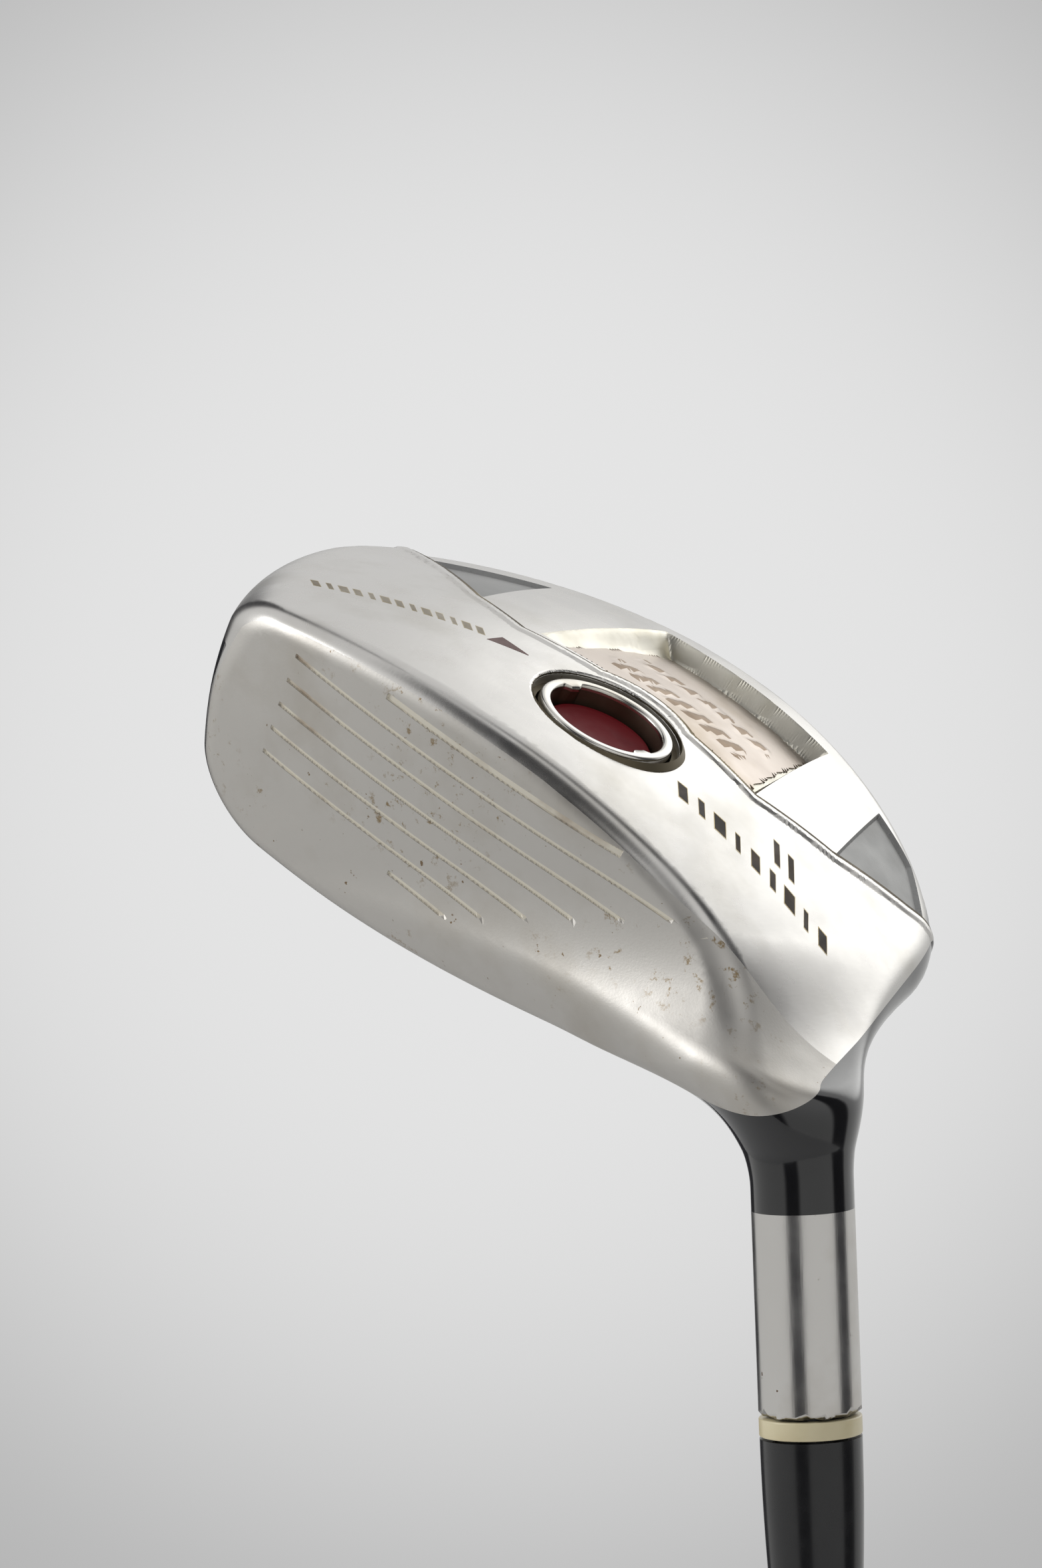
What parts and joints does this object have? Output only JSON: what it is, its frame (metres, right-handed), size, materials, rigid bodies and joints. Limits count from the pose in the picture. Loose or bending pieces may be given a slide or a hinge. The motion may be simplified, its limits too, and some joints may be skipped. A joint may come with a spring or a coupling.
{
  "type": "hybrid golf club",
  "caption": "Left-handed hybrid golf club: hollow steel head with a weight port in the sole, black crown and neck, tapered graphite shaft and rubber grip.",
  "frame": {"origin": "on the shaft axis at the butt of the grip, where hands or a clamp hold the club", "axes": "+Z along the shaft from the grip to the head, the face looks along -Y, the toe points along -X"},
  "size_m": [0.1095, 0.0867, 1.1003],
  "materials": {
    "head_steel": "polished and satin cast steel, black paint on the neck",
    "face_steel": "satin, lightly worn",
    "crown_paint": "gloss black paint",
    "badge_metal": "satin, faintly rose-gold",
    "ring_steel": "polished",
    "weight_red": "deep red anodised",
    "weight_metal": "sintered grey",
    "seal_rubber": "black",
    "plug_plastic": "grey",
    "shaft_graphite": "clear-coated black graphite",
    "trim_plastic": "cream",
    "ferrule_plastic": "satin black",
    "tape_paper": "double-sided grip tape",
    "grip_rubber": "moulded matt black rubber",
    "cap_rubber": "moulded matt black rubber"
  },
  "bodies": {
    "club": {"head_body": "head_steel", "face_plate": "face_steel", "crown_plate": "crown_paint", "sole_badge": "badge_metal", "weight_seal": "seal_rubber", "hosel_plug": "plug_plastic", "shaft": "shaft_graphite", "trim_ring": "trim_plastic", "ferrule": "ferrule_plastic", "grip_tape": "tape_paper", "grip": "grip_rubber", "grip_cap": "cap_rubber"},
    "weight_cartridge": {"weight_cap": "weight_red", "weight_slug": "weight_metal"},
    "screw_ring": {"port_ring": "ring_steel"}
  },
  "joints": [
    {"name": "cartridge_lift", "type": "slide", "parent": "club", "child": "weight_cartridge", "axis": [0.5403, -0.1028, 0.8352], "range_m": [0, 0.006]},
    {"name": "ring_turn", "type": "hinge", "parent": "weight_cartridge", "child": "screw_ring", "pos_m": [-0.03258, 0.0148, 1.07857], "axis": [0.5403, -0.1028, 0.8352], "range_deg": [0, 1439.9]}
  ],
  "couplings": [
    {"joint": "cartridge_lift", "follows": "ring_turn", "m_per_rad": 0.00023873}
  ]
}
